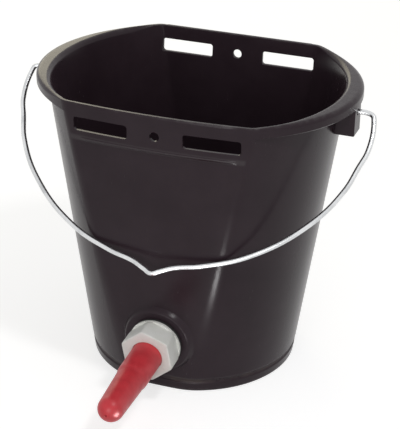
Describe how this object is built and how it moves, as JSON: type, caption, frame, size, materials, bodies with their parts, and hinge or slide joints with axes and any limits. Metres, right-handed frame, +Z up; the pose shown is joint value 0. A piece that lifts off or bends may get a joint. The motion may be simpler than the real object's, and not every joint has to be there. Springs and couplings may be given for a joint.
{
  "type": "calf feeding bucket",
  "caption": "Tapered feeding bucket with flattened front and back, hanging slots, a wire bail, and a rubber teat clamped on a screwed non-return valve low on its front.",
  "frame": {"origin": "centre of the flat underside, on the bucket's vertical axis", "axes": "+Z up along the bucket's axis, X along the bail's pivots, -Y out of the front flat where the teat is"},
  "size_m": [0.3308, 0.3293, 0.272],
  "materials": {
    "black_polypropylene": "injection moulded, semi-gloss",
    "galvanised_wire": "bright zinc-plated drawn wire",
    "white_nylon": "moulded, satin",
    "black_rubber": "matt",
    "white_ball": "smooth",
    "red_rubber": "moulded, satin"
  },
  "bodies": {
    "bucket": {"bucket_shell": "black_polypropylene", "valve_body": "white_nylon", "inner_gasket": "black_rubber", "outer_gasket": "black_rubber", "ball_retainer": "white_nylon"},
    "bail": {"bail": "galvanised_wire"},
    "teat": {"teat": "red_rubber"},
    "union_nut": {"union_nut": "white_nylon"},
    "valve_ball": {"valve_ball": "white_ball"}
  },
  "joints": [
    {"name": "bail_swing", "type": "hinge", "parent": "bucket", "child": "bail", "pos_m": [0, 0, 0.257], "axis": [-1, 0, 0], "range_deg": [0, 276]},
    {"name": "teat_slide", "type": "slide", "parent": "bucket", "child": "teat", "axis": [0, -0.9977, -0.068], "range_m": [0, 0.015]},
    {"name": "nut_turn", "type": "hinge", "parent": "teat", "child": "union_nut", "pos_m": [0, -0.096, 0.052], "axis": [0, -0.9977, -0.068], "range_deg": [0, 1800]},
    {"name": "ball_lift", "type": "slide", "parent": "bucket", "child": "valve_ball", "axis": [0, -0.9977, -0.068], "range_m": [0, 0.005]}
  ],
  "couplings": [
    {"joint": "teat_slide", "follows": "nut_turn", "m_per_rad": 0.00047746}
  ]
}
